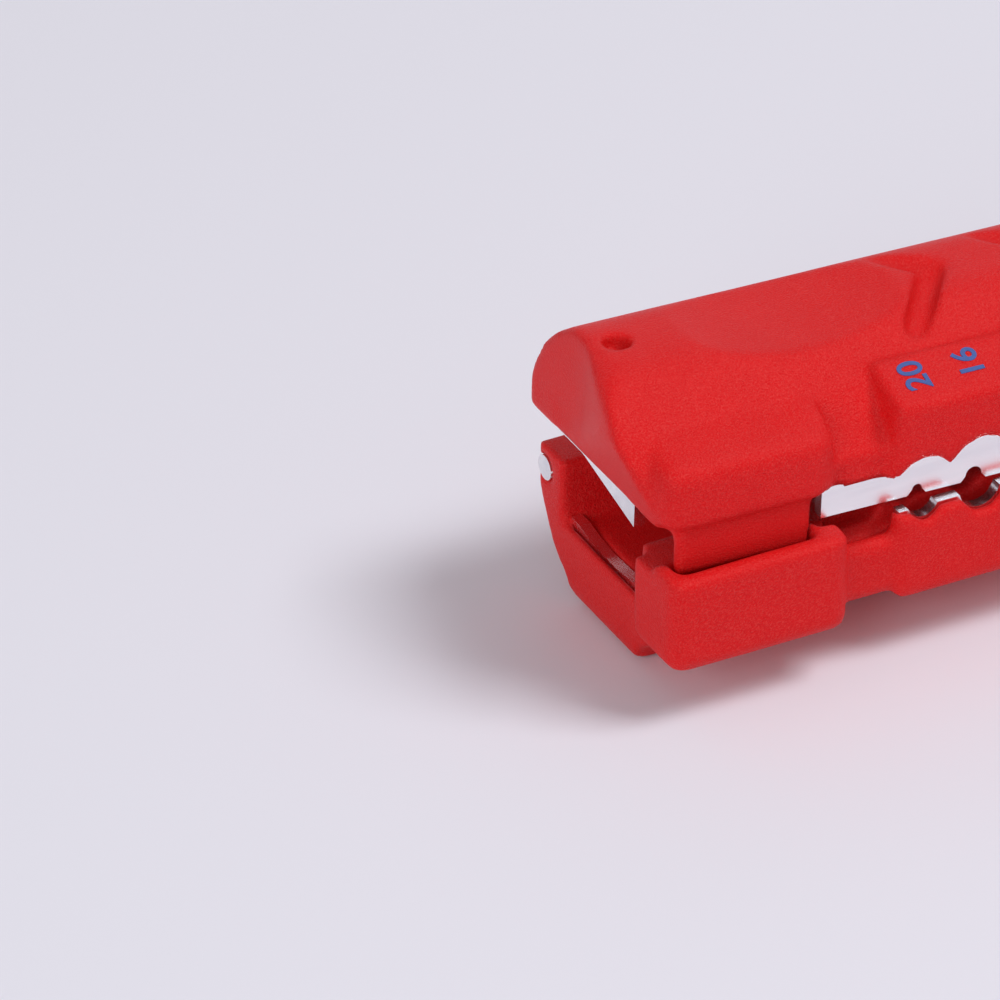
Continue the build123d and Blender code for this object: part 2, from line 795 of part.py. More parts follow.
# Hinge pin, washers and clip
pin_start = -ear_outer - washer_thickness - ear_gap / 2
pin_end = ear_outer + washer_thickness + ear_gap / 2 + clip_thickness + 0.8
hinge_pin = rod((0, 1, 0), hinge_from_nose, pin_start, -hinge_drop, pin_diameter / 2, pin_end - pin_start)
hinge_pin += rod((0, 1, 0), hinge_from_nose, pin_start - pin_head_height, -hinge_drop, pin_head_radius, pin_head_height)
clip_y = ear_outer + washer_thickness + ear_gap / 2
hinge_pin -= rod((0, 1, 0), hinge_from_nose, clip_y, -hinge_drop, pin_diameter, clip_thickness) - rod(
    (0, 1, 0), hinge_from_nose, clip_y, -hinge_drop, pin_diameter / 2 - groove_depth, clip_thickness
)
pin_clip = rod((0, 1, 0), hinge_from_nose, clip_y + 0.03, -hinge_drop, pin_head_radius, clip_thickness - 0.06)
pin_clip -= rod((0, 1, 0), hinge_from_nose, clip_y, -hinge_drop, pin_diameter / 2 - groove_depth + 0.02, clip_thickness)
pin_clip -= box(
    hinge_from_nose - 1.0, hinge_from_nose + 1.0, clip_y, clip_y + clip_thickness, -hinge_drop - 6, -hinge_drop
)
washers = []
for y0 in (-ear_outer - washer_thickness - 0.05, ear_outer + 0.05):
    ring = rod((0, 1, 0), hinge_from_nose, y0, -hinge_drop, washer_radius, washer_thickness)
    ring -= rod((0, 1, 0), hinge_from_nose, y0, -hinge_drop, pin_diameter / 2 + pin_clearance, washer_thickness)
    washers.append(ring)

# Opening spring: a coil between the two seats, at its resting length
lift = (hinge_from_nose - spring_from_nose) * tan(radians(rest_opening_deg))
coil_low = -spring_floor_drop + spring_end_gap + spring_wire_radius
coil_high = spring_roof_rise + lift - spring_end_gap - spring_wire_radius - 0.25
coil_path = Helix(
    pitch=(coil_high - coil_low) / spring_turns, height=coil_high - coil_low, radius=spring_radius
)
coil_profile = Plane(origin=coil_path @ 0, z_dir=coil_path % 0) * Circle(spring_wire_radius)
opening_spring = Pos(spring_from_nose + nose_x, 0, coil_low + parting_z) * sweep(coil_profile, path=coil_path)

# Bush of the centre knuckle
hinge_bush = rod(
    (0, 1, 0),
    hinge_from_nose,
    -knuckle_half_width,
    -hinge_drop,
    pin_diameter / 2 + bush_thickness - 0.01,
    2 * knuckle_half_width,
)
hinge_bush -= rod(
    (0, 1, 0), hinge_from_nose, -half_width, -hinge_drop, pin_diameter / 2 + pin_clearance, 2 * half_width
)


def blade_pins(front, pin_z, gap):
    """Dowels along the tool that carry a jacket blade."""
    pins = []
    for side in (-1, 1):
        pins.append(rod((1, 0, 0), front, side * jacket_pin_spread, pin_z, jacket_pin_radius + gap, jacket_pin_length))
    return pins


upper_pin_z = upper_jacket_root - jacket_pin_inset
lower_pin_z = lower_jacket_root + jacket_pin_inset
upper_jacket_pins = blade_pins(jacket_blade_from_nose, upper_pin_z, 0)
lower_jacket_pins = blade_pins(lower_jacket_front, lower_pin_z, 0)
for hole in blade_pins(jacket_blade_from_nose, upper_pin_z, 0.02):
    upper_shell -= hole
for hole in blade_pins(lower_jacket_front, lower_pin_z, 0.02):
    lower_shell -= hole

cheek_pin = rod((1, 0, 0), cheek_pin_start, cheek_pin_y, -cheek_pin_drop, cheek_pin_radius, cheek_pin_length)

nodes = {
    "lower_shell": lower_shell,
    "upper_shell": tilt(upper_shell),
    "hinge_pin": hinge_pin,
    "hinge_pin_clip": pin_clip,
    "hinge_washers": washers,
    "hinge_bush": hinge_bush,
    "opening_spring": opening_spring,
    "upper_wire_blade": tilt(upper_wire_blade),
    "lower_wire_blade": lower_wire_blade,
    "upper_wire_blade_screws": [tilt(s) for s in upper_shell_screws],
    "lower_wire_blade_screws": lower_shell_screws,
    "upper_jacket_blade": tilt(upper_jacket_blade),
    "lower_jacket_blade": lower_jacket_blade,
    "upper_jacket_blade_pins": [tilt(p) for p in upper_jacket_pins],
    "lower_jacket_blade_pins": lower_jacket_pins,
    "cheek_pin": cheek_pin,
    "lock_slider": lock_slider,
    "lock_detent_ball": detent_ball,
    "lock_detent_spring": detent_spring,
    "lock_keeper_pin": tilt(keeper_pin),
}

for name, part in nodes.items():
    solid = Compound(children=part) if isinstance(part, list) else part
    export_step(solid, f"parts/{name}.step")
    print(name, round(solid.volume, 1))
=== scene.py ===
import json
import math

import bmesh
import bpy
import numpy as np
from mathutils import Matrix, Vector


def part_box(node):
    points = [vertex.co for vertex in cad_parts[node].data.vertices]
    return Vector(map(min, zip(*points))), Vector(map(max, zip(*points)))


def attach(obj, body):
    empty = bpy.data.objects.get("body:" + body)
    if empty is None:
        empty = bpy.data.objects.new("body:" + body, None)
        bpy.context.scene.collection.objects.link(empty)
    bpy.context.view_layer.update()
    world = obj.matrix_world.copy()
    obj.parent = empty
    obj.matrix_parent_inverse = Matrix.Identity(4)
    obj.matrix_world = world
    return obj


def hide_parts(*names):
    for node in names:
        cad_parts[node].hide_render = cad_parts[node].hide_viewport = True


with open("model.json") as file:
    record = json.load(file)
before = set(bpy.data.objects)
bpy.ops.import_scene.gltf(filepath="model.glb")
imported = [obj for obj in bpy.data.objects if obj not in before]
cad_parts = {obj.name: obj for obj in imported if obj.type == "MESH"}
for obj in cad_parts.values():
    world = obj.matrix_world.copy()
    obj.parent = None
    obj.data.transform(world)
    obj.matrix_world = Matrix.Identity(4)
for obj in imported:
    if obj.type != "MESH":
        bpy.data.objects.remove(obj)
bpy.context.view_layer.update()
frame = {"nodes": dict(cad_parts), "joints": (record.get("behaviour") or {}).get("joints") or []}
nodes = frame["nodes"]
mm = 0.001
print("frame loaded", len(nodes), "nodes")


# The tool's own places. Triples below are mm in the closed tool: x from the nose, y from the middle,
# z from the parting plane. The upper half then turns about the hinge to the resting opening
toolSizes = {
    "restOpening": math.radians(1.8),
    "partingHeight": 13.6 * mm,
    "noseX": -62 * mm,
}
hinge = [joint for joint in frame["joints"] if joint["name"] == "jaw_hinge"][0]
hingeAt = Vector(hinge["pos_m"])
restTurn = Matrix.Rotation(toolSizes["restOpening"], 4, "Y")
turnRows = np.array(restTurn.to_3x3())
hingeRow = np.array(hingeAt)
toolOrigin = np.array([toolSizes["noseX"], 0, toolSizes["partingHeight"]])


def atTool(x, y, z):
    # one point of the closed tool, from mm to metres
    return Vector((toolSizes["noseX"] + x * mm, y * mm, toolSizes["partingHeight"] + z * mm))


def opened(point):
    # one point of the closed upper half, turned to the resting opening
    return hingeAt + restTurn @ (point - hingeAt)


def placeLower(points):
    # an array of points of the closed tool, from mm to metres
    return points * mm + toolOrigin


def placeUpper(points):
    # the same for the upper half, turned to the resting opening
    return (placeLower(points) - hingeRow) @ turnRows.T + hingeRow


def closedPoints(metres):
    # the way back from placeUpper
    return ((metres - hingeRow) @ turnRows + hingeRow - toolOrigin) / mm


def addPiece(name, data):
    piece = bpy.data.objects.new(name, data)
    bpy.context.scene.collection.objects.link(piece)
    return piece


# Camera, at the photo's viewing angle with a long lens
cameraLook = {
    "azimuth": -27.5,
    "elevation": 32.3,
    "lens": 300.0,
    "sensor": 36.0,
    "clip": (0.01, 20),
    "pixelsPerMm": 12.4,
    "imageSize": 1000.0,
    "anchor": (0, 0, -0.85),            # middle of the nose's lower edge
    "anchorPixel": (591.0, 468.0),      # where that point shows
}


def makeCamera(look):
    azimuth, elevation = math.radians(look["azimuth"]), math.radians(look["elevation"])
    level = math.cos(elevation)
    back = Vector((math.sin(azimuth) * level, -math.cos(azimuth) * level, math.sin(elevation)))
    right = Vector((math.cos(azimuth), math.sin(azimuth), 0))
    up = back.cross(right)
    half = look["imageSize"] / 2
    stepRight = (half - look["anchorPixel"][0]) / look["pixelsPerMm"] * mm
    stepUp = (look["anchorPixel"][1] - half) / look["pixelsPerMm"] * mm
    target = opened(atTool(*look["anchor"])) + right * stepRight + up * stepUp
    width = look["imageSize"] / look["pixelsPerMm"] * mm
    distance = width / 2 / (look["sensor"] / 2 / look["lens"])
    data = bpy.data.cameras.new("camera")
    data.lens = look["lens"]
    data.sensor_width = look["sensor"]
    data.clip_start, data.clip_end = look["clip"]
    camera = addPiece("camera", data)
    camera.location = target + back * distance
    camera.rotation_mode = "QUATERNION"
    camera.rotation_quaternion = (-back).to_track_quat("-Z", "Y")
    bpy.context.scene.camera = camera
    print("camera stands", round(distance, 3), "m away")


makeCamera(cameraLook)


# Node helpers for the materials
def newMaterial(name):
    material = bpy.data.materials.new(name)
    material.use_nodes = True
    tree = material.node_tree
    shader = tree.nodes["Principled BSDF"]
    return material, tree, shader


def addNode(tree, kind, **values):
    # a value goes to the node's setting of that name, or else to its input
    node = tree.nodes.new(kind)
    for key, value in values.items():
        if hasattr(node, key):
            setattr(node, key, value)
        else:
            node.inputs[key].default_value = value
    return node


def addRamp(tree, source, places, colours):
    ramp = tree.nodes.new("ShaderNodeValToRGB")
    elements = ramp.color_ramp.elements
    while len(elements) < len(places):
        elements.new(0.5)
    for element, place, colour in zip(elements, places, colours):
        element.position = place
        element.color = (*colour, 1)
    tree.links.new(source, ramp.inputs["Fac"])
    return ramp.outputs["Color"]


def addMultiply(tree, first, second):
    # the node has sockets of the same names for each data type, so the colour's are given by number
    mix = addNode(tree, "ShaderNodeMix", data_type="RGBA", blend_type="MULTIPLY")
    factor, firstColour, secondColour = mix.inputs[0], mix.inputs[6], mix.inputs[7]
    factor.default_value = 1.0
    tree.links.new(first, firstColour)
    tree.links.new(second, secondColour)
    return mix.outputs[2]


def addNoise(tree, scale, detail, roughness=0.5, stretch=(1, 1, 1)):
    coords = tree.nodes.new("ShaderNodeTexCoord")
    mapping = addNode(tree, "ShaderNodeMapping", Scale=stretch)
    noise = addNode(tree, "ShaderNodeTexNoise", Scale=scale, Detail=detail, Roughness=roughness)
    tree.links.new(coords.outputs["Object"], mapping.inputs["Vector"])
    tree.links.new(mapping.outputs["Vector"], noise.inputs["Vector"])
    return noise.outputs["Fac"]


def addRoughness(tree, shader, source, ends):
    spread = tree.nodes.new("ShaderNodeMapRange")
    spread.inputs["To Min"].default_value = ends[0]
    spread.inputs["To Max"].default_value = ends[1]
    tree.links.new(source, spread.inputs["Value"])
    tree.links.new(spread.outputs["Result"], shader.inputs["Roughness"])


def addBump(tree, shader, source, strength, depth):
    bump = addNode(tree, "ShaderNodeBump", Strength=strength, Distance=depth)
    tree.links.new(source, bump.inputs["Height"])
    tree.links.new(bump.outputs["Normal"], shader.inputs["Normal"])
    return bump


# Moulded red plastic: spark-eroded grain with painted glints on the grain's tops, small tone changes and soft
# edges
redLook = {
    "colour": (0.70, 0.011, 0.012),
    "paintedGlint": (0.74, 0.036, 0.033),      # painted glint: a paler, less saturated tone on the tops of the grain
    "pit": (0.67, 0.004, 0.007),
    "grainScale": 7200.0,               # one grain is about a seventh of a millimetre
    "grainDetail": 1.0,
    "grainRoughness": 0.6,
    "grainStops": (0.28, 0.5, 0.74),    # where pit, colour and painted glint stand on the ramp
    "grainDepth": 0.12 * mm,
    "grainStrength": 0.8,
    "toneScale": 260.0,
    "toneDetail": 2.0,
    "toneSpread": 0.03,                 # slow change of tone over the moulding
    "toneStops": (0.3, 0.7),
    "edgeRadius": 0.6 * mm,
    "edgeSamples": 6,
    "rough": (0.30, 0.52),
    "ior": 1.5,
    "specular": 0.12,
}
lockGrain = 0.6                         # share of the shells' grain that the lock has


def makeRed(name, look, grain=1.0):
    material, tree, shader = newMaterial(name)
    tone = addNoise(tree, look["toneScale"], look["toneDetail"])
    speck = addNoise(tree, look["grainScale"], look["grainDetail"], look["grainRoughness"])
    darkest = 1 - look["toneSpread"]
    shade = addRamp(tree, tone, look["toneStops"], [(darkest,) * 3, (1, 1, 1)])
    # the grain picks each point's colour: darker in the pits, and a paler painted glint on the grain's tops
    colour = addRamp(tree, speck, look["grainStops"], [look["pit"], look["colour"], look["paintedGlint"]])
    tree.links.new(addMultiply(tree, colour, shade), shader.inputs["Base Color"])
    addRoughness(tree, shader, speck, look["rough"])
    bump = addBump(tree, shader, speck, look["grainStrength"] * grain, look["grainDepth"])
    bevel = addNode(tree, "ShaderNodeBevel", samples=look["edgeSamples"], Radius=look["edgeRadius"])
    tree.links.new(bevel.outputs["Normal"], bump.inputs["Normal"])
    shader.inputs["IOR"].default_value = look["ior"]
    shader.inputs["Specular IOR Level"].default_value = look["specular"]
    return material


# Steel: ground plates with fine lines along the tool, turned pins and drawn wire
steelLook = {
    "bright": (0.97, 0.97, 0.98),
    "dull": (0.84, 0.84, 0.87),
    "lineScale": 900.0,
    "lineDetail": 4.0,
    "lineRoughness": 0.65,
    "lineStops": (0.3, 0.7),
    "lineDepth": 0.006 * mm,
    "lineStrength": 0.4,
}
# how each kind stretches the lines, how rough it is, and its share of the plates' brightness
steelKinds = {
    "bladeSteel": {"stretch": (0.05, 1, 1), "rough": (0.16, 0.30), "shade": 1.0},
    "pinSteel": {"stretch": (1, 1, 1), "rough": (0.22, 0.38), "shade": 0.9},
    "screwSteel": {"stretch": (1, 1, 1), "rough": (0.28, 0.45), "shade": 0.8},
    "springSteel": {"stretch": (1, 1, 0.3), "rough": (0.25, 0.40), "shade": 0.75},
}


def makeSteel(name, look, kind):
    material, tree, shader = newMaterial(name)
    lines = addNoise(tree, look["lineScale"], look["lineDetail"], look["lineRoughness"], kind["stretch"])
    tones = [tuple(share * kind["shade"] for share in look[end]) for end in ("dull", "bright")]
    tree.links.new(addRamp(tree, lines, look["lineStops"], tones), shader.inputs["Base Color"])
    addRoughness(tree, shader, lines, kind["rough"])
    addBump(tree, shader, lines, look["lineStrength"], look["lineDepth"])
    shader.inputs["Metallic"].default_value = 1.0
    return material


shellRed = makeRed("shellRed", redLook)
lockRed = makeRed("lockRed", redLook, lockGrain)
steels = {name: makeSteel(name, steelLook, kind) for name, kind in steelKinds.items()}
print("materials ready")

finishOf = {
    "lower_shell": shellRed,
    "upper_shell": shellRed,
    "lock_slider": lockRed,
    "hinge_pin": steels["pinSteel"],
    "hinge_pin_clip": steels["springSteel"],
    "hinge_washers": steels["screwSteel"],
    "hinge_bush": steels["screwSteel"],
    "lock_detent_ball": steels["pinSteel"],
    "lock_detent_spring": steels["springSteel"],
    "opening_spring": steels["springSteel"],
    "upper_wire_blade": steels["bladeSteel"],
    "lower_wire_blade": steels["bladeSteel"],
    "upper_jacket_blade": steels["bladeSteel"],
    "lower_jacket_blade": steels["bladeSteel"],
    "upper_wire_blade_screws": steels["screwSteel"],
    "lower_wire_blade_screws": steels["screwSteel"],
    "upper_jacket_blade_pins": steels["pinSteel"],
    "lower_jacket_blade_pins": steels["pinSteel"],
    "cheek_pin": steels["pinSteel"],
    "lock_keeper_pin": steels["pinSteel"],
}
for name, piece in nodes.items():
    piece.data.materials.clear()
    piece.data.materials.append(finishOf[name])
print("nodes dressed")


# Mesh helpers for the moulded shells. Points closer than these distances in metres become one
mergeWithin = {"drawnMesh": 1e-6, "cadMesh": 1e-7}


def gridMesh(name, points):
    # points[i, j] is a grid that is closed round j, and its two ends are filled
    rows, around = points.shape[:2]
    i, j = np.meshgrid(np.arange(rows - 1), np.arange(around), indexing="ij")
    nextJ = (j + 1) % around
    faces = np.stack([i * around + j, i * around + nextJ, (i + 1) * around + nextJ, (i + 1) * around + j], -1)
    faces = faces.reshape(-1, 4).tolist()
    faces.append(list(range(around))[::-1])
    faces.append(list(range((rows - 1) * around, rows * around)))
    mesh = bpy.data.meshes.new(name)
    mesh.from_pydata(points.reshape(-1, 3).tolist(), [], faces)
    body = bmesh.new()
    body.from_mesh(mesh)
    bmesh.ops.remove_doubles(body, verts=body.verts, dist=mergeWithin["drawnMesh"])
    bmesh.ops.recalc_face_normals(body, faces=body.faces)
    body.to_mesh(mesh)
    body.free()
    return mesh


def prismMesh(name, outline, x0, x1, place=placeUpper):
    # the outline of (y, z) points carried along x
    ring = np.array(outline)
    x = np.full((2, len(ring), 1), float(x0))
    x[1] = x1
    return gridMesh(name, place(np.concatenate([x, np.stack([ring, ring])], -1)))


def boxMesh(name, sides, place=placeUpper):
    x0, x1, y0, y1, z0, z1 = sides
    return prismMesh(name, [(y0, z0), (y1, z0), (y1, z1), (y0, z1)], x0, x1, place)


def bakeMesh(piece):
    # takes the mesh that the modifiers give, and clears them
    bpy.context.view_layer.update()
    graph = bpy.context.evaluated_depsgraph_get()
    mesh = bpy.data.meshes.new_from_object(piece.evaluated_get(graph))
    piece.modifiers.clear()
    piece.data = mesh
    return mesh


def cutAway(piece, meshes):
    cutters = []
    for mesh in meshes:
        cut = piece.modifiers.new("cut", "BOOLEAN")
        cut.operation, cut.solver = "DIFFERENCE", "EXACT"
        cut.object = addPiece("cutter", mesh)
        cutters.append(cut.object)
    bakeMesh(piece)
    for cutter in cutters:
        bpy.data.objects.remove(cutter)


def closeHole(body, hole):
    # takes the faces of a blind hole in the upper shell's ridge out, and closes its rim
    x, y, radius, lowest = hole
    back = restTurn.to_3x3().transposed()
    inside = set()
    for vert in body.verts:
        closed = hingeAt + back @ (vert.co - hingeAt) - atTool(x, y, 0)
        if math.hypot(closed.x, closed.y) < radius * mm and closed.z > lowest * mm:
            inside.add(vert)
    gone = [face for face in body.faces if all(vert in inside for vert in face.verts)]
    bmesh.ops.delete(body, geom=gone, context="FACES")
    bmesh.ops.holes_fill(body, edges=[edge for edge in body.edges if edge.is_boundary])


def mergedCopy(name, fills=(), hole=None):
    # the CAD mesh with its points merged, one hole closed, and the fills beside it as closed shells
    body = bmesh.new()
    body.from_mesh(nodes[name].data)
    bmesh.ops.remove_doubles(body, verts=body.verts, dist=mergeWithin["cadMesh"])
    if hole:
        closeHole(body, hole)
    for fill in fills:
        body.from_mesh(fill)
    mesh = bpy.data.meshes.new(name + "_moulded")
    body.to_mesh(mesh)
    body.free()
    return mesh


# Moulded shells: the CAD shells with the soft corners that a moulding has
mouldLook = {
    "voxel": 0.36 * mm,
    "softShare": 0.5,
    "softSteps": 2,
    "noseSteps": 6,
    "noseReach": 7.0,            # mm from the nose over which the extra softness fades out
    "noseLevels": 10,
    "nosePush": 0.03 * mm,       # how far the softened nose is brought forward again
    "holeRim": 1.6,              # mm round the small hole that the extra softness leaves alone
}


def addRemesh(piece, look):
    remesh = piece.modifiers.new("remesh", "REMESH")
    remesh.mode = "VOXEL"
    remesh.voxel_size = look["voxel"]
    remesh.use_smooth_shade = True


def noseWeights(points, look, hole):
    # 1 at the nose, falls in a straight line to 0 behind it, and is 0 near the hole
    fromNose = (points[::3] - toolSizes["noseX"]) / mm
    weights = np.clip(1 - fromNose / look["noseReach"], 0, 1)
    if hole:
        fromHole = np.hypot(fromNose - hole[0], points[1::3] / mm - hole[1])
        weights = weights * np.clip(fromHole - look["holeRim"], 0, 1)
    return weights


def softenNose(piece, weights, look):
    group = piece.vertex_groups.new(name="nose")
    levels = look["noseLevels"]
    for level in range(1, levels + 1):
        picked = np.nonzero(np.ceil(weights * levels) == level)[0].tolist()
        group.add(picked, level / levels, "REPLACE")
    nose = piece.modifiers.new("nose", "SMOOTH")
    nose.factor, nose.iterations, nose.vertex_group = look["softShare"], look["noseSteps"], "nose"
    mesh = bakeMesh(piece)
    piece.vertex_groups.clear()
    return mesh


def makeMoulding(name, body, look, cuts, fills=(), oldHole=None, hole=None):
    piece = addPiece(name + "_moulded", mergedCopy(name, fills, oldHole))
    addRemesh(piece, look)
    cutAway(piece, cuts)
    addRemesh(piece, look)
    soft = piece.modifiers.new("soft", "SMOOTH")
    soft.factor, soft.iterations = look["softShare"], look["softSteps"]
    mesh = bakeMesh(piece)
    points = np.empty(len(mesh.vertices) * 3)
    mesh.vertices.foreach_get("co", points)
    weights = noseWeights(points, look, hole)
    mesh = softenNose(piece, weights, look)
    mesh.name = name + "_moulded"
    mesh.vertices.foreach_get("co", points)
    points[::3] -= look["nosePush"] * weights
    mesh.vertices.foreach_set("co", points)
    mesh.polygons.foreach_set("use_smooth", np.ones(len(mesh.polygons), dtype=bool))
    mesh.materials.clear()
    mesh.materials.append(shellRed)
    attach(piece, body)
    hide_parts(name)
    print(name, "moulded with", len(mesh.polygons), "faces")


# Upper shell: the ridge is filled up and gets the grip grooves with both arms, at the photo's pitch,
# and the wall of the stripping section is filled up and gets its arches
upperLook = {
    "halfWidth": 11.0,
    "sideHeight": 1.7,
    "crownHeight": 10.4,
    "crownShares": [(1.0, 0.0), (0.936, 0.24), (0.841, 0.455), (0.714, 0.65), (0.536, 0.83), (0.0, 1.0)],
    "crownSteps": 121,
    "ridgeFrom": 24.9,
    "ridgeTo": 62.5,
    "ridgeSteps": 60,
    "ridgeHalf": 7.4,
    "ridgeUnder": 7.0,
    "scoopMiddle": 17.3,
    "scoopHalf": 9.9,
    "scoopDepth": 1.25,
    "grooveRadius": 1.15,
    "grooveFirst": 31.0,         # from the nose to the first groove on the ridge
    "groovePitch": 9.5,
    "grooveCount": 4,
    "grooveLift": 0.1,           # of the groove's middle line above the crown
    "grooveRuns": [(-4.6, -5.9, -1.3), (-3.6, 3.6, 0.6)],     # near arm, and the far arm that runs out
    "grooveSides": 32,
    "grooveEndSteps": 8,
    "grooveTip": 0.02,           # angle in radians at which the round ends stop short of a point
    "oldHole": (2.9, 0.8, 1.08, 8.0),    # the CAD's small hole: place, radius and lowest point
    "hole": (2.04, 0.26, 1.2, 8.9),      # the small blind hole: place on the ridge, radius and floor
    "holeReach": 4.0,
    "holeSides": 48,
    "tongue": (-0.5, 15.4, -14.2, -12.5, -5.2, 0.15),         # outside of the tongue, cut back
    "slotFill": (14.5, 20.75, -12.08, -10.9, 2.35, 4.7),      # fills close what would show in the waist
    "screwFill": (16.6, 19.4, -12.28, -11.9, 0.1, 2.5),
    "wallFill": (21.2, 42.2, -13.25, -12.08, 0.05, 4.6),
    "arches": [(23.65, 2.3, 1.25), (28.95, 2.9, 1.85), (35.75, 3.4, 2.45)],   # middle, half width, height
    "archWall": (-14.5, -12.06),
    "archSides": 64,
    "waist": (15.15, 20.6),
    "waistLine": [(-12.3, -3.0), (-12.3, 2.5), (-7.9, 7.6), (-7.9, 9.5), (-16.0, 9.5), (-16.0, -3.0)],
    "springSeats": [             # room round the spring's post, so that the coil's end stays clear
        (76.0, 78.2, -4.0, 4.0, 2.5, 5.8),
        (81.8, 84.0, -4.0, 4.0, 2.5, 5.8),
        (78.1, 81.9, -4.0, -1.8, 2.5, 5.8),
        (78.1, 81.9, 1.8, 4.0, 2.5, 5.8),
    ],
}


def ridgeMesh(look):
    # crown(a) = (halfWidth r cos a, sideHeight + rise r sin a), with r(a) a cosine series through the
    # crown's points, carried along x and kept under the scoop's round floor
    shares = np.array(look["crownShares"])
    angles = np.arctan2(shares[:, 1], shares[:, 0])
    terms = 2 * np.arange(len(shares))
    series = np.linalg.solve(np.cos(np.outer(angles, terms)), np.hypot(shares[:, 0], shares[:, 1]))
    a = np.linspace(0, np.pi, look["crownSteps"])
    r = np.cos(np.outer(a, terms)) @ series
    y = look["halfWidth"] * r * np.cos(a)
    z = look["sideHeight"] + (look["crownHeight"] - look["sideHeight"]) * r * np.sin(a)
    inside = np.abs(y) < look["ridgeHalf"]
    y, z = y[inside], z[inside]
    x = np.linspace(look["ridgeFrom"], look["ridgeTo"], look["ridgeSteps"])
    half, depth = look["scoopHalf"], look["scoopDepth"]
    radius = (half ** 2 + depth ** 2) / (2 * depth)
    across = np.clip(x - look["scoopMiddle"], -half, half)
    floor = look["crownHeight"] - depth + radius - np.sqrt(radius ** 2 - across ** 2)
    top = np.minimum(z[None, :], floor[:, None])
    ring = np.concatenate([y, y[::-1]])
    under = np.full_like(top, look["ridgeUnder"])
    heights = np.concatenate([top, under], axis=1)
    points = np.stack(np.broadcast_arrays(x[:, None], ring[None, :], heights), -1)
    return gridMesh("ridge", placeUpper(points))


def archMesh(look, middle, half, height):
    # round rod across the section's wall, through both tips and the top of the arch
    radius = (half ** 2 + height ** 2) / (2 * height)
    u = np.linspace(0, 2 * np.pi, look["archSides"], endpoint=False)
    x, z = middle + radius * np.cos(u), height - radius + radius * np.sin(u)
    rings = [np.stack([x, np.full_like(x, y), z], -1) for y in look["archWall"]]
    return gridMesh("arch", placeUpper(np.stack(rings)))


def holeMesh(look):
    # round rod that stands on the hole's floor
    x, y, radius, floor = look["hole"]
    u = np.linspace(0, 2 * np.pi, look["holeSides"], endpoint=False)
    ring = np.stack([x + radius * np.cos(u), y + radius * np.sin(u), np.full_like(u, floor)], -1)
    return gridMesh("hole", placeUpper(np.stack([ring, ring + (0, 0, look["holeReach"])])))


def grooveMesh(look, armRun):
    # capsules: middle line + radius(v) (cos u, sin u), with round ends, one for each groove on a side
    radius = look["grooveRadius"]
    run = np.array(armRun)
    reach = np.linalg.norm(run)
    along = run / reach
    side = np.cross(along, (0, 0, 1))
    side = side / np.linalg.norm(side)
    up = np.cross(side, along)
    u = np.linspace(0, 2 * np.pi, look["grooveSides"], endpoint=False)
    bend = np.linspace(look["grooveTip"], np.pi / 2, look["grooveEndSteps"])
    place = np.concatenate([-radius * np.cos(bend), reach + radius * np.cos(bend[::-1])])
    wide = radius * np.concatenate([np.sin(bend), np.sin(bend[::-1])])
    circle = np.cos(u)[:, None] * side + np.sin(u)[:, None] * up
    capsule = place[:, None, None] * along + wide[:, None, None] * circle
    body = bmesh.new()
    for number in range(look["grooveCount"]):
        x = look["grooveFirst"] + number * look["groovePitch"]
        one = gridMesh("groove", placeUpper(capsule + (x, 0, look["crownHeight"] + look["grooveLift"])))
        body.from_mesh(one)
        bpy.data.meshes.remove(one)
    mesh = bpy.data.meshes.new("grooves")
    body.to_mesh(mesh)
    body.free()
    return mesh


def makeUpperShell(look):
    fills = [ridgeMesh(look)]
    fills += [boxMesh(name, look[name]) for name in ("slotFill", "screwFill", "wallFill")]
    cuts = [grooveMesh(look, run) for run in look["grooveRuns"]]
    cuts += [holeMesh(look), boxMesh("tongueCut", look["tongue"])]
    cuts.append(prismMesh("waistCut", look["waistLine"], *look["waist"]))
    cuts += [archMesh(look, *arch) for arch in look["arches"]]
    cuts += [boxMesh("springSeat", sides) for sides in look["springSeats"]]
    makeMoulding("upper_shell", "upper", mouldLook, cuts, fills, look["oldHole"], look["hole"])


makeUpperShell(upperLook)


# Lower shell: only the path of the wire blades is cut a little wider
lowerLook = {
    "bladePath": (14.2, 42.9, -12.3, -10.7, -3.3, 1.0),
}
makeMoulding("lower_shell", "lower", mouldLook, [boxMesh("bladePath", lowerLook["bladePath"], placeLower)])


# Steel fitted to the moulded shells: the upper wire blade is lower beside the waist, the jacket blades
# show in the mouth as the photo has them, and the pin and screws end inside the softer surfaces
fitLook = {
    "waistCorner": (14.0, 20.7, -13.0, -10.0, 2.3, 6.0),
    "mouthTop": -7.3,                  # height in the mouth above which the lower blade is pressed lower
    "mouthPress": 0.35,
    "upperRim": -0.85,
    "rimMargin": 0.05,
    "upperReach": 2.1,                 # how far the upper blade hangs below the rim at its near end
    "upperReachEnds": (2.5, -6.5),     # where that reach begins and where it is full
    "leastReach": 0.02,                # share of the reach that is left at the far end
    "screwEnd": -11.7,
    "pinFront": 1.2,                   # points this near to the cheek pin's front keep its thickness
    "pinBack": 0.12,                   # and are set back by this much
    "pinShare": 0.75,                  # share of the thickness at the pin's hidden end
}


def lowerMouthBlade(points, look):
    # z = top + press (z - top) above the top
    top = toolSizes["partingHeight"] + look["mouthTop"] * mm
    z = points[:, 2]
    points[:, 2] = np.where(z > top, top + look["mouthPress"] * (z - top), z)
    return points


def slantMouthBlade(points, look):
    # reach(y) grows in a straight line from the far end to the near one
    closed = closedPoints(points)
    far, near = look["upperReachEnds"]
    reach = look["upperReach"] * np.clip((closed[:, 1] - far) / (near - far), look["leastReach"], 1)
    below = closed[:, 2] < look["upperRim"] - look["rimMargin"]
    closed[:, 2] = np.where(below, look["upperRim"] - reach, closed[:, 2])
    return placeUpper(closed)


def shortenScrews(points, look):
    points[:, 1] = np.maximum(points[:, 1], look["screwEnd"] * mm)
    return points


